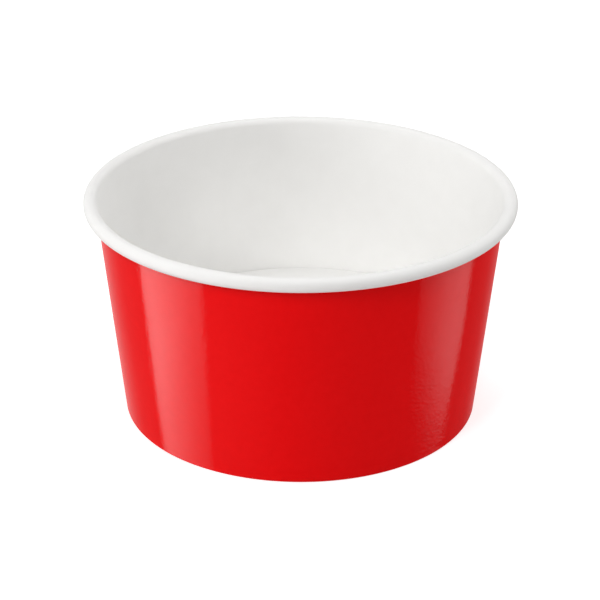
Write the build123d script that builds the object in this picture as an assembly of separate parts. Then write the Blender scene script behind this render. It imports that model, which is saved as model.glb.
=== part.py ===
from build123d import *
from math import acos, asin, atan2, ceil, cos, degrees, hypot, radians, sin, tan
import os

# A low, wide paper ice cream cup, made the way such cups are: a fan-shaped board blank is wrapped into
# a cone with a lapped side seam, curled outwards into a rolled rim, and folded inwards and up at the
# foot, where it holds the downturned skirt of a separate base disc.
# Lengths are in millimetres and angles in degrees. +Z is up, and the cup stands on z = 0.

# Outer size of the cup
RIM_DIAMETER = 92.0  # over the rolled rim
FOOT_DIAMETER = 76.6  # where the line of the wall meets the table
HEIGHT = 49.2  # table to the top of the rim

# Sidewall board
BOARD = 0.4
FOLD_BREAK = 0.3  # the two outer corners of the foot fold are this blunt
HEM_HEIGHT = 5.6  # table to the free edge of the hem inside the foot

# Rolled rim
ROLL_WIDTH = 3.0
CURL_GAP = 0.15  # between the free edge of the roll and the wall
CURL_STEP = 42.0  # the roll is turned from short cones, none bent further from the next than this

# Side seam, at the back of the cup
LAP_MIDDLE = 90.0  # direction of the seam, counted from +X
LAP_ANGLE = 10.0  # width over which the two ends of the blank lie on each other
RAMP_ANGLE = 6.0  # how far past the lap the outer ply takes to come back to the wall's own line

# Base disc
DISC_BOARD = 0.4
DISC_HEIGHT = 13.5  # table to the upper face of the disc
BEND_BREAK = 0.5  # bluntness of the bend between the disc and its skirt
SKIRT_CLEARANCE = 0.15  # between the skirt's lower edge and the foot fold

# The wall is the straight line from the foot that is tangent to the inner surface of the roll's board.
ROLL_X = RIM_DIAMETER / 2 - ROLL_WIDTH / 2
ROLL_Z = HEIGHT - ROLL_WIDTH / 2
ROLL_INSIDE = ROLL_WIDTH / 2 - BOARD
ROLL_MIDDLE = ROLL_WIDTH / 2 - BOARD / 2
OVERHANG = ROLL_X - FOOT_DIAMETER / 2
TAPER = degrees(atan2(OVERHANG, ROLL_Z) - asin(ROLL_INSIDE / hypot(OVERHANG, ROLL_Z)))
LEAN = sin(radians(TAPER))
UPRIGHT = cos(radians(TAPER))


def on_wall(height, inset):
    """Point (radius, height) on the line that lies inset millimetres inside the wall's outer face."""
    return (FOOT_DIAMETER / 2 + height * tan(radians(TAPER)) - inset / UPRIGHT, height)


def curl(shoulder):
    """Points that turn the board from the wall's upper end outwards and round, nearly back to the wall."""
    closing = TAPER + degrees(acos((CURL_GAP - ROLL_INSIDE) / (ROLL_WIDTH / 2)))
    up = JernArc(shoulder, (LEAN, UPRIGHT), ROLL_MIDDLE, TAPER - 90)
    over = JernArc(up @ 1, (1, 0), ROLL_MIDDLE, -90)
    under = JernArc(over @ 1, (0, -1), ROLL_MIDDLE, -closing)
    points = []
    for arc in (up, over, under):
        cones = ceil(degrees(arc.length / ROLL_MIDDLE) / CURL_STEP)
        points += [arc @ (cone / cones) for cone in range(1, cones + 1)]
    return points


def sidewall_section():
    """Section of the board from the hem's free edge round the foot, up the wall and round the rim."""
    hem_inset = BOARD + DISC_BOARD + BOARD / 2
    shoulder = (ROLL_X - ROLL_MIDDLE * UPRIGHT, ROLL_Z + ROLL_MIDDLE * LEAN)
    middle = Polyline(
        on_wall(HEM_HEIGHT, hem_inset),
        on_wall(BOARD / 2, hem_inset),
        on_wall(BOARD / 2, BOARD / 2),
        shoulder,
        *curl(shoulder),
    )
    section = trace(middle, BOARD)
    return chamfer(section.vertices().group_by(Axis.Y)[0], FOLD_BREAK)


def base_section():
    """Section of the base disc, from the cup's axis to the lower edge of the skirt."""
    skirt_inset = BOARD + DISC_BOARD / 2
    level = DISC_HEIGHT - DISC_BOARD / 2
    low = BOARD + SKIRT_CLEARANCE
    section = trace(Polyline((0, level), on_wall(level, skirt_inset), on_wall(low, skirt_inset)), DISC_BOARD)
    return chamfer(section.vertices().group_by(Axis.Y)[-1].sort_by(Axis.X)[-1], BEND_BREAK)


def at(radius, angle):
    """Point at a direction counted from the seam's free outer edge, seen from above."""
    direction = radians(LAP_MIDDLE - LAP_ANGLE / 2 + angle)
    return (radius * cos(direction), radius * sin(direction))


def round_seam(radius, first, last):
    """Arc about the cup's axis between two directions counted like those of at()."""
    return CenterArc((0, 0), radius, LAP_MIDDLE - LAP_ANGLE / 2 + first, last - first)


def outer_ply(height):
    """Plan of the blank's outer end, lying on the inner end and ramping down beyond it."""
    face, buried = on_wall(height, 0)[0], on_wall(height, BOARD / 2)[0]
    top = face + BOARD / UPRIGHT
    far = LAP_ANGLE + RAMP_ANGLE
    outline = [
        Line(at(buried, 0), at(top, 0)),
        round_seam(top, 0, LAP_ANGLE),
        Line(at(top, LAP_ANGLE), at(face, far)),
        Line(at(face, far), at(buried, far)),
        round_seam(buried, far, 0),
    ]
    return Pos(0, 0, height) * make_face(outline)


def inner_step(height):
    """Plan of the hollow beside the blank's inner cut edge, where the outer ply ramps inwards."""
    face, deep = on_wall(height, BOARD)[0], on_wall(height, 0)[0]
    clear = on_wall(height, BOARD + DISC_BOARD / 2)[0]
    far = LAP_ANGLE + RAMP_ANGLE
    outline = [
        Line(at(clear, LAP_ANGLE), at(deep, LAP_ANGLE)),
        Line(at(deep, LAP_ANGLE), at(face, far)),
        Line(at(face, far), at(clear, far)),
        round_seam(clear, far, LAP_ANGLE),
    ]
    return Pos(0, 0, height) * make_face(outline)


def sidewall():
    """One board blank: hem, foot fold, wall with its lapped seam, and rolled rim."""
    # The lap ends out of sight inside the roll, and the step beside it runs out on the roll's shoulder.
    lap_top = ROLL_Z + ROLL_INSIDE / 2
    step_foot = BOARD + FOLD_BREAK
    ring = revolve(Plane.XZ * sidewall_section(), Axis.Z)
    lap = loft([outer_ply(FOLD_BREAK), outer_ply(lap_top)], ruled=True)
    step = loft([inner_step(step_foot), inner_step(HEIGHT)], ruled=True)
    return ring + lap - step


def base_disc():
    """Flat disc whose edge is turned down into a skirt that fills the space between wall and hem."""
    return revolve(Plane.XZ * base_section(), Axis.Z)


os.makedirs("parts", exist_ok=True)
export_step(sidewall(), "parts/sidewall.step")
export_step(base_disc(), "parts/base_disc.step")
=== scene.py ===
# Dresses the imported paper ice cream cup: one board blank, printed glossy red outside and coated white
# inside, curled into a rolled rim and folded into a hem at the foot, with a separate white base disc.
# Lengths are in metres and angles in degrees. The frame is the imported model's own: +Z up, the cup stands
# on z = 0, the photographed front faces -Y and the side seam is at the back.
from math import acos, asin, atan2, cos, degrees, hypot, pi, radians, sin, tan

import bpy
import numpy as np
from mathutils import Matrix, Vector


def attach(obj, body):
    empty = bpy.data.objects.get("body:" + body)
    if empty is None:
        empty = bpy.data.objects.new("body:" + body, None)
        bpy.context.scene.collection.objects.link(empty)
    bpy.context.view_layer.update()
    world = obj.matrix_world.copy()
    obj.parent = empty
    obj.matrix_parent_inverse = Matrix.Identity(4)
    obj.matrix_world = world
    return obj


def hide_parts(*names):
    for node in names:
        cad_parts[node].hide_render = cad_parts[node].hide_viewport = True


MM = 0.001

# The cup's own sizes, the same as in the CAD source
RIM_DIAMETER = 92.0 * MM
FOOT_DIAMETER = 76.6 * MM
HEIGHT = 49.2 * MM
BOARD = 0.4 * MM
HEM_HEIGHT = 5.6 * MM
ROLL_WIDTH = 3.0 * MM
CURL_GAP = 0.15 * MM
LAP_MIDDLE = 90.0
LAP_ANGLE = 10.0
RAMP_ANGLE = 6.0
DISC_BOARD = 0.4 * MM
DISC_HEIGHT = 13.5 * MM
SKIRT_CLEARANCE = 0.15 * MM

# Finer forms, which only the looks have
FOLD_RADIUS = 0.3 * MM  # of the board's middle, at both corners of the foot fold
DISC_BEND_RADIUS = 0.55 * MM  # of the disc board's middle, where it turns down into the skirt
DISC_DISH = 0.12 * MM  # how far the middle of the disc sags
DISH_BOTTOM = 0.55  # share of the disc's radius within which it sags by all of that
SKIVED = 0.03  # share of the board's thickness left at the inner cut edge of the seam
EDGE_ROUNDING = 0.05 * MM  # at every cut edge of the board
ROLL_EDGE_ANGLE = 2.0  # of the roll, at its free edge, over which the corners are taken off
LIFT_START = 0.8 * MM  # up to this height the lap is pressed flat at the foot
WALL_LIFT_END = 3.5 * MM  # from this height up the wall's outer ply lies on the inner one
HEM_LIFT_END = 2.0 * MM  # and from this height up the hem's
RIB_COUNT = 120  # pressed ribs round the hem
RIB_DEPTH = 0.08 * MM
RIB_FOOT = (1.2 * MM, 1.8 * MM)  # heights between which the ribs deepen
RIB_HEAD = (HEM_HEIGHT - 1.0 * MM, HEM_HEIGHT - 0.5 * MM)  # heights between which they run out
WAVE_HEIGHT = 0.025 * MM  # unevenness of the wall

# Waves round the wall: share of WAVE_HEIGHT, count, phase in radians, and drift in radians a metre of height
WALL_WAVES = [
    (0.45, 5, 0.6, 55),
    (0.35, 9, -1.9, -90),
    (0.30, 14, 2.4, 140),
    (0.16, 23, 0.3, -210),
]

# How finely the meshes follow the forms
COLUMNS_PER_RIB = 4
DISC_COLUMNS = 240
HEM_STEPS = 8
FOLD_STEPS = 6
WALL_STEPS = 14
ROLL_STEPS = 32
DISC_STEPS = 14
DISC_BEND_STEPS = 8
SKIRT_STEPS = 6
DISC_RINGS = (0.2 * MM, 2.0 * MM)  # radii of the two innermost rings of the disc
DISC_MARGIN = 0.4 * MM  # between the last ring of the disc and the start of its bend
END_GRADING = 4  # a straight's second step ends this many edge roundings from its end
SAME_POINT = 1e-7  # points closer than this are one point
SHARP_ANGLE = 40.0  # faces that meet at more than this are shaded with a sharp edge

# The wall is the straight line from the foot that is tangent to the inner surface of the roll's board.
ROLL_X = RIM_DIAMETER / 2 - ROLL_WIDTH / 2
ROLL_Z = HEIGHT - ROLL_WIDTH / 2
ROLL_INSIDE = ROLL_WIDTH / 2 - BOARD
ROLL_MIDDLE = ROLL_WIDTH / 2 - BOARD / 2
OVERHANG = ROLL_X - FOOT_DIAMETER / 2
TAPER = degrees(atan2(OVERHANG, ROLL_Z) - asin(ROLL_INSIDE / hypot(OVERHANG, ROLL_Z)))
LEAN = sin(radians(TAPER))
UPRIGHT = cos(radians(TAPER))
INWARD = np.array([-UPRIGHT, LEAN])  # square to the wall, towards the cup's axis

# Colours, each as the darkest and the lightest tone of its faint cloudiness
PRINT_RED = ((0.850, 0.0022, 0.0034), (0.874, 0.0028, 0.0042))
COAT_WHITE = ((0.900, 0.894, 0.879), (0.915, 0.909, 0.895))
CUT_EDGE = ((0.74, 0.72, 0.67), (0.82, 0.80, 0.76))
BARE_BOARD = ((0.74, 0.735, 0.70), (0.80, 0.795, 0.765))
NOISE_RANGE = (0.3, 0.7)  # nearly all values of a noise lie between these

# Camera, fitted to the photograph
CAMERA_DISTANCE = 460 * MM
CAMERA_ELEVATION = 25.37
CAMERA_ROLL = 0.151
CAMERA_ASIDE = -0.074 * MM
CAMERA_TARGET_HEIGHT = 23.44 * MM
CAMERA_LENS = 127.1
CAMERA_SENSOR = 36.0
CAMERA_NEAR = 0.01

# Surroundings
WORLD_LEVEL = 0.20  # light of the world on the cup
FLOOR_RADIUS = 2.0
FLOOR_SIDES = 96
FLOOR_COLOUR = 0.75
FLOOR_GLOW = 0.64  # added to the floor only where it is seen, which makes it almost white
FLOOR_FADE = (0.25, 0.60)  # distances over which the floor runs out into plain white
FAR_FLOOR_LEVEL = 0.26  # light of that plain white on the cup

# Soft boxes: name, azimuth, elevation, and the level to which each lights a surface that faces it
LAMP_DISTANCE = 1.2
LAMP_SIZE = 0.4
SOFT_BOXES = [
    ("key_softbox", 235, 40, 0.39),
    ("front_softbox", 270, 35, 0.07),
    ("high_left_softbox", 190, 55, 0.105),
    ("low_left_softbox", 195, 9, 0.215),
    ("right_softbox", 8, 40, 0.24),
    ("low_right_softbox", 20, 10, 0.15),
    ("back_softbox", 90, 70, 0.19),
]

# Light cards, which show only in gloss
CARD_DISTANCE = 600 * MM
SURROUND_DISTANCE = 700 * MM
CARD_STEPS = 120


# Curves in the plane through the cup's axis, as (radius, height)


def on_wall(height, inset):
    """Point on the line that lies inset inside the wall's outer face."""
    return np.array([FOOT_DIAMETER / 2 + height * tan(radians(TAPER)) - inset / UPRIGHT, height])


def arc(centre, radius, first, last, steps):
    """Points of an arc and the directions from its centre to them."""
    angles = np.radians(np.linspace(first, last, steps + 1))
    outward = np.stack([np.cos(angles), np.sin(angles)], 1)
    return centre + radius * outward, outward


def eased(value, low, high):
    """0 below low, 1 above high and smooth between them."""
    share = np.clip((value - low) / (high - low), 0, 1)
    return share * share * (3 - 2 * share)


def graded(length, steps):
    """Distances along a straight, with a step at each end as short as the rounding of a cut edge."""
    margin = END_GRADING * EDGE_ROUNDING
    inner = np.linspace(margin, length - margin, steps)
    return np.concatenate([[0, EDGE_ROUNDING], inner, [length - EDGE_ROUNDING, length]])


class Path:
    """The middle of a board in section: points, directions of one face, half thicknesses and part names."""

    def __init__(self, board):
        self.half = board / 2
        self.points, self.faces, self.halves, self.parts = [], [], [], []

    def add(self, points, faces, part):
        for point, face in zip(points, faces):
            if self.points and np.hypot(*(point - self.points[-1])) < SAME_POINT:
                continue
            self.points.append(np.array(point))
            self.faces.append(np.array(face))
            self.halves.append(self.half)
            self.parts.append(part)

    def straight(self, start, end, face, part, steps):
        length = np.hypot(*(end - start))
        points = [start + share * (end - start) for share in graded(length, steps) / length]
        self.add(points, [face] * len(points), part)

    def thin(self, *ends):
        """Thins the board at its free edges, which takes their corners off."""
        for end in ends:
            self.halves[end] -= EDGE_ROUNDING

    def arrays(self):
        return np.array(self.points), np.array(self.faces), np.array(self.halves), np.array(self.parts)


def sidewall_path():
    """The sidewall board from the hem's free edge round the foot, up the wall and round the rim."""
    hem_inset = BOARD + DISC_BOARD + BOARD / 2
    low = BOARD / 2 + FOLD_RADIUS
    hem_centre = on_wall(low, hem_inset - FOLD_RADIUS)
    wall_centre = on_wall(low, BOARD / 2 + FOLD_RADIUS)
    roll_centre = np.array([ROLL_X, ROLL_Z])
    closing = TAPER + degrees(acos((CURL_GAP - ROLL_INSIDE) / (ROLL_WIDTH / 2)))

    path = Path(BOARD)
    hem_edge = on_wall(HEM_HEIGHT, hem_inset)
    path.straight(hem_edge, hem_centre + FOLD_RADIUS * INWARD, INWARD, "hem", HEM_STEPS)
    path.add(*arc(hem_centre, FOLD_RADIUS, 180 - TAPER, 270, FOLD_STEPS), "fold")
    path.add(*arc(wall_centre, FOLD_RADIUS, 270, 360 - TAPER, FOLD_STEPS), "fold")
    shoulder = roll_centre + ROLL_MIDDLE * INWARD
    path.straight(wall_centre - FOLD_RADIUS * INWARD, shoulder, -INWARD, "wall", WALL_STEPS)
    curl, outward = arc(roll_centre, ROLL_MIDDLE, 180 - TAPER, -closing, ROLL_STEPS)
    path.add(curl, -outward, "roll")
    edge, outward = arc(roll_centre, ROLL_MIDDLE, -closing, -closing - ROLL_EDGE_ANGLE, 1)
    path.add(edge, -outward, "roll")
    path.thin(0, -1)
    return path.arrays()


def base_path():
    """The base disc's board from the cup's axis to the skirt's free edge; its face is the lower one."""
    skirt_inset = BOARD + DISC_BOARD / 2
    level = DISC_HEIGHT - DISC_BOARD / 2
    centre = on_wall(level - DISC_BEND_RADIUS, skirt_inset + DISC_BEND_RADIUS)
    rings = np.linspace(DISC_RINGS[1], centre[0] - DISC_MARGIN, DISC_STEPS)
    radii = np.concatenate([[DISC_RINGS[0]], rings, [centre[0]]])
    sag = DISC_DISH * (1 - eased(radii, DISH_BOTTOM * centre[0], centre[0]))

    path = Path(DISC_BOARD)
    path.add(np.stack([radii, level - sag], 1), [(0, -1)] * len(radii), "disc")
    bend, outward = arc(centre, DISC_BEND_RADIUS, 90, -TAPER, DISC_BEND_STEPS)
    path.add(bend, -outward, "bend")
    skirt_edge = on_wall(BOARD + SKIRT_CLEARANCE, skirt_inset)
    path.straight(bend[-1], skirt_edge, INWARD, "skirt", SKIRT_STEPS)
    path.thin(-1)
    return path.arrays()


# Meshes

FRONT = ((0, 0), (1, 0), (1, 1), (0, 1))  # corners of a face, as steps of column and row
BACK = ((0, 0), (0, 1), (1, 1), (1, 0))  # the same, turned over


def placed(radius, height, angle):
    """Points in space from radii, heights and directions about the cup's axis."""
    radius, height, angle = np.broadcast_arrays(radius, height, angle)
    return np.stack([radius * np.cos(angle), radius * np.sin(angle), height], -1)


def add_piece(name, points, quads, finishes, materials):
    """A smooth-shaded mesh object that rides on the cup."""
    mesh = bpy.data.meshes.new(name)
    mesh.from_pydata(points.tolist(), [], quads)
    for material in materials:
        mesh.materials.append(material)
    mesh.polygons.foreach_set("material_index", np.array(finishes, dtype=np.int32))
    mesh.polygons.foreach_set("use_smooth", np.ones(len(quads), dtype=bool))
    mesh.set_sharp_from_angle(angle=radians(SHARP_ANGLE))
    mesh.validate()
    mesh.update()
    piece = bpy.data.objects.new(name, mesh)
    bpy.context.scene.collection.objects.link(piece)
    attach(piece, "root")
    return piece


def seam_columns():
    """Directions of the sweep, from the outer cut edge once round and on to the inner cut edge."""
    start = LAP_MIDDLE - LAP_ANGLE / 2
    end = start + 360 + LAP_ANGLE
    step = 360 / (RIB_COUNT * COLUMNS_PER_RIB)
    rounding = degrees(EDGE_ROUNDING / (FOOT_DIAMETER / 2))
    regular = start + step * np.arange(1, round((360 + LAP_ANGLE) / step))
    return np.concatenate([[start, start + rounding], regular, [end - rounding, end]])


def under_ply(turned):
    """Thickness of the ply beneath, as a share of the board's, at angles counted from the outer cut edge."""
    skive = 1 - (1 - SKIVED) * eased(turned, LAP_ANGLE / 2, LAP_ANGLE)
    return skive * (1 - eased(turned, LAP_ANGLE, LAP_ANGLE + RAMP_ANGLE))


def lap_lift(parts, height, turned):
    """How far the outer ply is lifted by the inner one, on which it lies except at the flat foot fold."""
    share = np.select(
        [parts == "fold", parts == "wall", parts == "roll"],
        [0, eased(height, LIFT_START, WALL_LIFT_END), 1],
        eased(height, LIFT_START, HEM_LIFT_END),
    )
    over_lap = turned <= LAP_ANGLE + RAMP_ANGLE
    return BOARD * np.where(over_lap, under_ply(turned), 0) * share


def hem_ribs(parts, height, angle):
    """Depth of the ribs pressed into the hem, which glue it to the skirt behind it."""
    rib = 0.5 + 0.5 * np.cos(RIB_COUNT * angle)
    window = eased(height, *RIB_FOOT) * (1 - eased(height, *RIB_HEAD))
    return np.where(parts == "hem", RIB_DEPTH * rib * window, 0)


def wall_waves(parts, height, angle):
    """Slight unevenness of a wrapped board, which dies out towards the foot and the rim."""
    waves = 0
    for share, count, phase, drift in WALL_WAVES:
        waves = waves + share * np.cos(count * angle + phase + drift * height)
    waves = waves * np.sin(pi * np.clip(height / ROLL_Z, 0, 1)) ** 0.5
    return np.where(parts == "wall", WAVE_HEIGHT * waves, 0)


def sidewall_quads(columns, rows, full_turn, wall_start):
    """Corners and finishes of all faces, where 0 is the printed side, 1 the white side and 2 a cut edge.

    From the column full_turn on, the inner ply begins at the row wall_start, above the foot fold, so that
    the fold is never four boards thick.
    """
    quads, finishes = [], []

    def corner(side, column, row):
        return (side * columns + column) * rows + row

    def here(column, row):
        inside = 0 <= column < columns - 1 and 0 <= row < rows - 1
        return inside and (column < full_turn or row >= wall_start)

    for column in range(columns - 1):
        for row in range(rows - 1):
            if not here(column, row):
                continue
            a, b, c, d = (corner(0, column + i, row + j) for i, j in FRONT)
            e, f, g, h = (corner(1, column + i, row + j) for i, j in BACK)
            sides = [
                ((a, b, c, d), 0, True),
                ((e, f, g, h), 1, True),
                ((a, d, f, e), 2, not here(column - 1, row)),
                ((b, h, g, c), 2, not here(column + 1, row)),
                ((b, a, e, h), 2, not here(column, row - 1)),
                ((d, c, g, f), 2, not here(column, row + 1)),
            ]
            for quad, finish, wanted in sides:
                if wanted:
                    quads.append(quad)
                    finishes.append(finish)
    return quads, finishes


def sidewall_piece(print_coat, white_coat, raw_edge):
    """The whole sidewall board, swept once round and lapped on itself at the seam."""
    points, faces, halves, parts = sidewall_path()
    height = points[:, 1]
    columns = seam_columns()[:, None]
    angle = np.radians(columns)
    turned = columns - columns[0]

    # Towards the inner cut edge the board is skived from its printed face.
    left = np.where(turned > 360, under_ply(np.minimum(turned - 360, LAP_ANGLE)), 1)
    rounding = np.ones_like(turned)
    rounding[[0, -1]] = 1 - 2 * EDGE_ROUNDING / BOARD
    half = halves * rounding

    lift = lap_lift(parts, height, turned)
    waves = wall_waves(parts, height, angle)
    printed = lift + half * (2 * left - 1) - hem_ribs(parts, height, angle) + waves
    white = lift - half + waves
    sides = []
    for offset in (printed, white):
        side = placed(points[:, 0] + offset * faces[:, 0], height + offset * faces[:, 1], angle)
        sides.append(side.reshape(-1, 3))
    vertices = np.concatenate(sides)

    full_turn = int(np.argmin(abs(turned - 360)))
    wall_start = int(np.argmax(parts == "wall"))
    quads, finishes = sidewall_quads(len(columns), len(points), full_turn, wall_start)
    used, index = np.unique(quads, return_inverse=True)
    quads = index.reshape(-1, 4).tolist()
    piece = add_piece("sidewall_board", vertices[used], quads, finishes, (print_coat, white_coat, raw_edge))
    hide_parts("sidewall")


def base_piece(white_coat, raw_board):
    """The base disc with its downturned skirt, coated above and bare below."""
    points, faces, halves, _ = base_path()
    angle = np.radians(np.arange(DISC_COLUMNS) * 360 / DISC_COLUMNS)[:, None]
    rows = len(points)
    sides = []
    for offset in (halves, -halves):
        side = placed(points[:, 0] + offset * faces[:, 0], points[:, 1] + offset * faces[:, 1], angle)
        sides.append(side.reshape(-1, 3))
    low, high = points[0, 1] - halves[0], points[0, 1] + halves[0]
    vertices = np.concatenate(sides + [np.array([[0, 0, low], [0, 0, high]])])
    low_middle, high_middle = len(vertices) - 2, len(vertices) - 1
    quads, finishes = [], []

    def corner(side, column, row):
        return (side * DISC_COLUMNS + column % DISC_COLUMNS) * rows + row

    for column in range(DISC_COLUMNS):
        quads.append((corner(0, column + 1, 0), corner(0, column, 0), low_middle))
        quads.append((corner(1, column, 0), corner(1, column + 1, 0), high_middle))
        finishes += [1, 0]
        for row in range(rows - 1):
            quads.append(tuple(corner(0, column + i, row + j) for i, j in FRONT))
            quads.append(tuple(corner(1, column + i, row + j) for i, j in BACK))
            finishes += [1, 0]
        skirt_edge = ((0, column), (0, column + 1), (1, column + 1), (1, column))
        quads.append(tuple(corner(side, place, rows - 1) for side, place in skirt_edge))
        finishes.append(1)
    piece = add_piece("base_disc_board", vertices, quads, finishes, (white_coat, raw_board))
    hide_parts("base_disc")


# Materials


class Nodes:
    """Short names for building a material out of nodes."""

    def __init__(self, name):
        self.material = bpy.data.materials.new(name)
        self.material.use_nodes = True
        self.tree = self.material.node_tree
        self.shader = self.tree.nodes["Principled BSDF"]
        self.place = self.tree.nodes.new("ShaderNodeTexCoord").outputs["Object"]

    def noise(self, size, detail=2.0, roughness=0.5):
        """Soft blotches about size across, from 0 to 1."""
        node = self.tree.nodes.new("ShaderNodeTexNoise")
        node.inputs["Scale"].default_value = 1 / size
        node.inputs["Detail"].default_value = detail
        node.inputs["Roughness"].default_value = roughness
        self.tree.links.new(self.place, node.inputs["Vector"])
        return node.outputs["Fac"]

    def spread(self, value, low, high):
        """Noise values brought into the range from low to high."""
        node = self.tree.nodes.new("ShaderNodeMapRange")
        node.inputs["From Min"].default_value = NOISE_RANGE[0]
        node.inputs["From Max"].default_value = NOISE_RANGE[1]
        node.inputs["To Min"].default_value = low
        node.inputs["To Max"].default_value = high
        self.tree.links.new(value, node.inputs["Value"])
        return node.outputs["Result"]

    def tint(self, value, dark, light):
        """A colour between two, chosen by noise."""
        node = self.tree.nodes.new("ShaderNodeMix")
        node.data_type = "RGBA"
        node.inputs["A"].default_value = (*dark, 1)
        node.inputs["B"].default_value = (*light, 1)
        self.tree.links.new(self.spread(value, 0, 1), node.inputs["Factor"])
        return node.outputs["Result"]

    def bump(self, height, depth, below=None):
        """Relief depth deep, on top of the relief below."""
        node = self.tree.nodes.new("ShaderNodeBump")
        node.inputs["Distance"].default_value = depth
        self.tree.links.new(height, node.inputs["Height"])
        if below is not None:
            self.tree.links.new(below, node.inputs["Normal"])
        return node.outputs["Normal"]

    def feed(self, output, *sockets):
        """Leads an output to inputs of the shader."""
        for socket in sockets:
            self.tree.links.new(output, self.shader.inputs[socket])

    def set(self, **values):
        """Sets inputs of the shader that are the same all over."""
        for socket, value in values.items():
            self.shader.inputs[socket.replace("_", " ")].default_value = value


def printed_coat():
    """Plain red print under a thin gloss varnish with a faint orange peel."""
    nodes = Nodes("printed_red_coat")
    nodes.feed(nodes.tint(nodes.noise(size=1.6 * MM, detail=3), *PRINT_RED), "Base Color")
    nodes.feed(nodes.spread(nodes.noise(size=0.9 * MM), low=0.44, high=0.52), "Roughness")
    broad = nodes.bump(nodes.noise(size=6.0 * MM, detail=1), depth=0.012 * MM)
    fine = nodes.bump(nodes.noise(size=0.7 * MM, detail=1), depth=0.025 * MM, below=broad)
    nodes.feed(fine, "Normal", "Coat Normal")
    nodes.set(Specular_IOR_Level=0.0, Coat_Weight=0.20, Coat_Roughness=0.03, Coat_IOR=1.5)
    return nodes.material


def white_coat():
    """Satin white coating over board, with the board's faint cloudiness and fibre."""
    nodes = Nodes("white_board_coat")
    nodes.feed(nodes.tint(nodes.noise(size=4.5 * MM, detail=4), *COAT_WHITE), "Base Color")
    nodes.feed(nodes.spread(nodes.noise(size=1.2 * MM, detail=3), low=0.40, high=0.50), "Roughness")
    cloud = nodes.bump(nodes.noise(size=3.0 * MM, detail=2), depth=0.010 * MM)
    grain = nodes.noise(size=0.28 * MM, detail=3, roughness=0.6)
    fibre = nodes.bump(grain, depth=0.0030 * MM, below=cloud)
    nodes.feed(fibre, "Normal", "Coat Normal")
    nodes.set(Specular_IOR_Level=0.0, Coat_Weight=0.05, Coat_Roughness=0.30, Coat_IOR=1.5)
    return nodes.material


def raw_board(name, dark, light):
    """Uncoated board, as at its cut edges and under the base."""
    nodes = Nodes(name)
    speckle = nodes.noise(size=0.5 * MM, detail=5, roughness=0.65)
    nodes.feed(nodes.tint(speckle, dark, light), "Base Color")
    nodes.feed(nodes.spread(nodes.noise(size=0.3 * MM, detail=3), low=0.78, high=0.92), "Roughness")
    felt = nodes.bump(nodes.noise(size=1.8 * MM, detail=2), depth=0.012 * MM)
    grain = nodes.noise(size=0.16 * MM, detail=4, roughness=0.65)
    nodes.feed(nodes.bump(grain, depth=0.010 * MM, below=felt), "Normal")
    nodes.set(Specular_IOR_Level=0.25)
    return nodes.material


# Surroundings


def seen_directly(tree):
    """1 for camera, mirror and glass rays, which see the background as it is."""
    path = tree.nodes.new("ShaderNodeLightPath")
    seen = path.outputs["Is Camera Ray"]
    for ray in ("Is Glossy Ray", "Is Transmission Ray"):
        either = tree.nodes.new("ShaderNodeMath")
        either.operation = "MAXIMUM"
        tree.links.new(seen, either.inputs[0])
        tree.links.new(path.outputs[ray], either.inputs[1])
        seen = either.outputs[0]
    return seen


def level_when(tree, unseen, seen):
    """One strength of light for what is seen directly and another for the light that falls on the cup."""
    level = tree.nodes.new("ShaderNodeMapRange")
    level.inputs["To Min"].default_value = unseen
    level.inputs["To Max"].default_value = seen
    tree.links.new(seen_directly(tree), level.inputs["Value"])
    return level.outputs["Result"]


def glow(tree, strength):
    """White light of its own, as strong as the output strength."""
    node = tree.nodes.new("ShaderNodeEmission")
    tree.links.new(strength, node.inputs["Strength"])
    return node.outputs[0]


def empty_material(name):
    material = bpy.data.materials.new(name)
    material.use_nodes = True
    material.node_tree.nodes.clear()
    return material


def lead_out(tree, shader):
    """Makes a shader the surface of the material."""
    output = tree.nodes.new("ShaderNodeOutputMaterial")
    tree.links.new(shader, output.inputs["Surface"])


def white_world():
    """Even light all round, seen as plain white."""
    world = bpy.data.worlds.new("studio")
    bpy.context.scene.world = world
    world.use_nodes = True
    tree = world.node_tree
    tree.nodes.clear()
    background = tree.nodes.new("ShaderNodeBackground")
    background.inputs["Color"].default_value = (1, 1, 1, 1)
    tree.links.new(level_when(tree, WORLD_LEVEL, 1.0), background.inputs["Strength"])
    output = tree.nodes.new("ShaderNodeOutputWorld")
    tree.links.new(background.outputs["Background"], output.inputs["Surface"])


def floor_material():
    """Pale table that keeps the cup's shadow and runs out into the white background."""
    material = empty_material("pale_floor")
    tree = material.node_tree
    board = tree.nodes.new("ShaderNodeBsdfDiffuse")
    board.inputs["Color"].default_value = (FLOOR_COLOUR, FLOOR_COLOUR, FLOOR_COLOUR, 1)
    near = tree.nodes.new("ShaderNodeAddShader")
    tree.links.new(board.outputs[0], near.inputs[0])
    tree.links.new(glow(tree, level_when(tree, 0, FLOOR_GLOW)), near.inputs[1])

    place = tree.nodes.new("ShaderNodeTexCoord")
    distance = tree.nodes.new("ShaderNodeVectorMath")
    distance.operation = "LENGTH"
    tree.links.new(place.outputs["Object"], distance.inputs[0])
    fade = tree.nodes.new("ShaderNodeMapRange")
    fade.interpolation_type = "SMOOTHSTEP"
    fade.inputs["From Min"].default_value = FLOOR_FADE[0]
    fade.inputs["From Max"].default_value = FLOOR_FADE[1]
    tree.links.new(distance.outputs["Value"], fade.inputs["Value"])

    both = tree.nodes.new("ShaderNodeMixShader")
    tree.links.new(fade.outputs["Result"], both.inputs["Fac"])
    tree.links.new(near.outputs[0], both.inputs[1])
    tree.links.new(glow(tree, level_when(tree, FAR_FLOOR_LEVEL, 1.0)), both.inputs[2])
    lead_out(tree, both.outputs[0])
    return material


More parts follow.
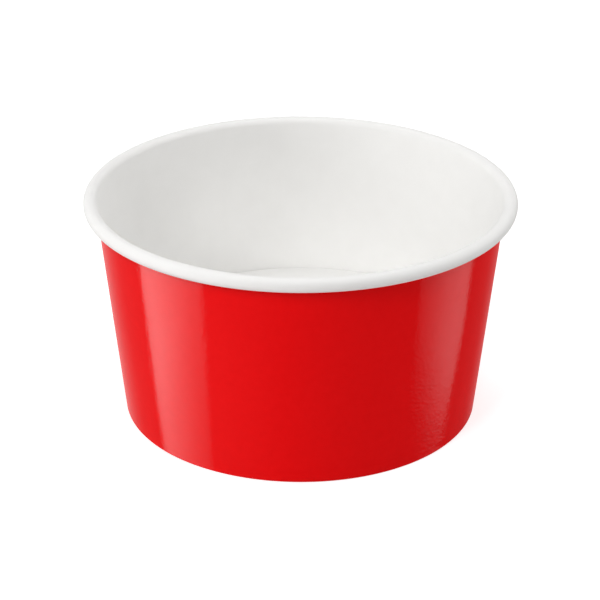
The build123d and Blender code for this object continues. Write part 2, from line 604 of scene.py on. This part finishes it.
def pale_floor():
    """A round table top, left out of the wall's mirror image, which shows the light cards instead."""
    rim = placed(FLOOR_RADIUS, 0.0, np.linspace(0, 2 * pi, FLOOR_SIDES, endpoint=False))
    mesh = bpy.data.meshes.new("floor")
    mesh.from_pydata(rim.tolist(), [], [tuple(range(FLOOR_SIDES))])
    mesh.materials.append(floor_material())
    floor = bpy.data.objects.new("floor", mesh)
    bpy.context.scene.collection.objects.link(floor)
    floor.visible_glossy = False


# Light


def direction(azimuth, elevation):
    """Unit vector towards a place in the studio; azimuth is counted from +X."""
    flat = cos(radians(elevation))
    return Vector((flat * cos(radians(azimuth)), flat * sin(radians(azimuth)), sin(radians(elevation))))


def lamp(name, azimuth, elevation, level):
    """A square soft box aimed at the cup, that lights a surface facing it to level."""
    data = bpy.data.lights.new(name, "AREA")
    data.size = LAMP_SIZE
    data.energy = level * (pi * LAMP_DISTANCE) ** 2
    box = bpy.data.objects.new(name, data)
    aim = Vector((0, 0, HEIGHT / 2))
    box.location = aim + LAMP_DISTANCE * direction(azimuth, elevation)
    box.rotation_euler = (aim - box.location).to_track_quat("-Z", "Y").to_euler()
    box.visible_camera = False
    bpy.context.scene.collection.objects.link(box)


def card_material(name):
    """White light as strong as the card's level at each point."""
    material = empty_material(name)
    tree = material.node_tree
    level = tree.nodes.new("ShaderNodeAttribute")
    level.attribute_name = "level"
    lead_out(tree, glow(tree, level.outputs["Fac"]))
    return material


def gloss_card(name, distance, edges, across, down, least):
    """A curved card below the level of the table that shows only in gloss.

    edges holds (elevation, first azimuth, last azimuth), across holds (share of the width, level) and down
    holds (elevation, factor on that level). The card is nowhere dimmer than least.
    """
    shares = np.linspace(across[0][0], across[-1][0], CARD_STEPS)
    elevations = np.linspace(down[0][0], down[-1][0], CARD_STEPS)
    edge_elevations, firsts, lasts = zip(*edges)
    first = np.interp(elevations, edge_elevations, firsts)
    last = np.interp(elevations, edge_elevations, lasts)
    azimuths = np.radians(first + np.outer(shares, last - first))
    flat, below = distance * np.cos(np.radians(elevations)), distance * np.sin(np.radians(elevations))
    points = placed(flat, below, azimuths).reshape(-1, 3)
    levels = np.outer(np.interp(shares, *zip(*across)), np.interp(elevations, *zip(*down)))
    quads = []
    for column in range(CARD_STEPS - 1):
        for row in range(CARD_STEPS - 1):
            a = column * CARD_STEPS + row
            quads.append((a, a + 1, a + CARD_STEPS + 1, a + CARD_STEPS))
    mesh = bpy.data.meshes.new(name)
    mesh.from_pydata(points.tolist(), [], quads)
    attribute = mesh.attributes.new("level", "FLOAT", "POINT")
    attribute.data.foreach_set("value", np.maximum(levels, least).ravel().astype(np.float32))
    mesh.materials.append(card_material(name))
    card = bpy.data.objects.new(name, mesh)
    card.location = (0, 0, HEIGHT / 2)
    bpy.context.scene.collection.objects.link(card)
    card.visible_camera = False
    card.visible_diffuse = False
    card.visible_shadow = False


def light_cards():
    """The two bright bands on the wall, and the dimmer surroundings that it mirrors between them."""
    gloss_card(
        "left_card",
        CARD_DISTANCE,
        edges=[(-39, 167, 210), (-31, 166, 213)],
        across=[
            (-0.03, 0), (0, 0.40), (0.03, 0.75), (0.15, 1), (0.30, 1),
            (0.50, 0.86), (0.80, 0.53), (0.97, 0.40), (1.03, 0),
        ],
        down=[(-50, 3.3), (-41, 4.3), (-36, 6.7), (-33, 9.4), (-12, 9.4)],
        least=0.65,
    )
    gloss_card(
        "right_card",
        CARD_DISTANCE,
        edges=[(-40, 350, 368), (-35, 343, 380), (-31, 342, 385)],
        across=[(-0.03, 0), (0.02, 0.28), (0.20, 0.54), (0.50, 0.93), (0.76, 1), (0.96, 0.78), (1.03, 0)],
        down=[(-40, 0), (-37, 0.7), (-35, 2.2), (-33, 3.7), (-12, 4.5)],
        least=0.30,
    )
    gloss_card(
        "dark_surround",
        SURROUND_DISTANCE,
        edges=[(-70, 96, 440), (-8, 96, 440)],
        across=[
            (0, 1.8), (0.07, 1.5), (0.14, 0.65), (0.35, 0.70),
            (0.48, 0.35), (0.84, 0.30), (0.91, 0.35), (1, 1.0),
        ],
        down=[(-70, 1), (-8, 1)],
        least=0,
    )


def camera():
    """The photograph's own view."""
    data = bpy.data.cameras.new("camera")
    data.lens = CAMERA_LENS
    data.sensor_width = CAMERA_SENSOR
    data.clip_start = CAMERA_NEAR
    eye = bpy.data.objects.new("camera", data)
    tilt = radians(CAMERA_ELEVATION)
    back, above = CAMERA_DISTANCE * cos(tilt), CAMERA_DISTANCE * sin(tilt)
    place = Vector((CAMERA_ASIDE, -back, CAMERA_TARGET_HEIGHT + above))
    turn = Matrix.Rotation(pi / 2 - tilt, 4, "X") @ Matrix.Rotation(radians(CAMERA_ROLL), 4, "Z")
    eye.matrix_world = Matrix.Translation(place) @ turn
    bpy.context.scene.collection.objects.link(eye)
    bpy.context.scene.camera = eye


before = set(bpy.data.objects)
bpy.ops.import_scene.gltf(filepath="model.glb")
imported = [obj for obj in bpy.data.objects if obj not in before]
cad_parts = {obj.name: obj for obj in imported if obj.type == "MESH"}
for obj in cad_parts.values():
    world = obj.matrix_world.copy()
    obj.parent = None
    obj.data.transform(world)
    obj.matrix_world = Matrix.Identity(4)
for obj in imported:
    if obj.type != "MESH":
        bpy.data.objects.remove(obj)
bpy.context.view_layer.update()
coat = white_coat()
sidewall_piece(printed_coat(), coat, raw_board("raw_board_edge", *CUT_EDGE))
base_piece(coat, raw_board("bare_board_underside", *BARE_BOARD))
white_world()
pale_floor()
for soft_box in SOFT_BOXES:
    lamp(*soft_box)
light_cards()
camera()
bpy.context.scene.view_settings.view_transform = "Standard"
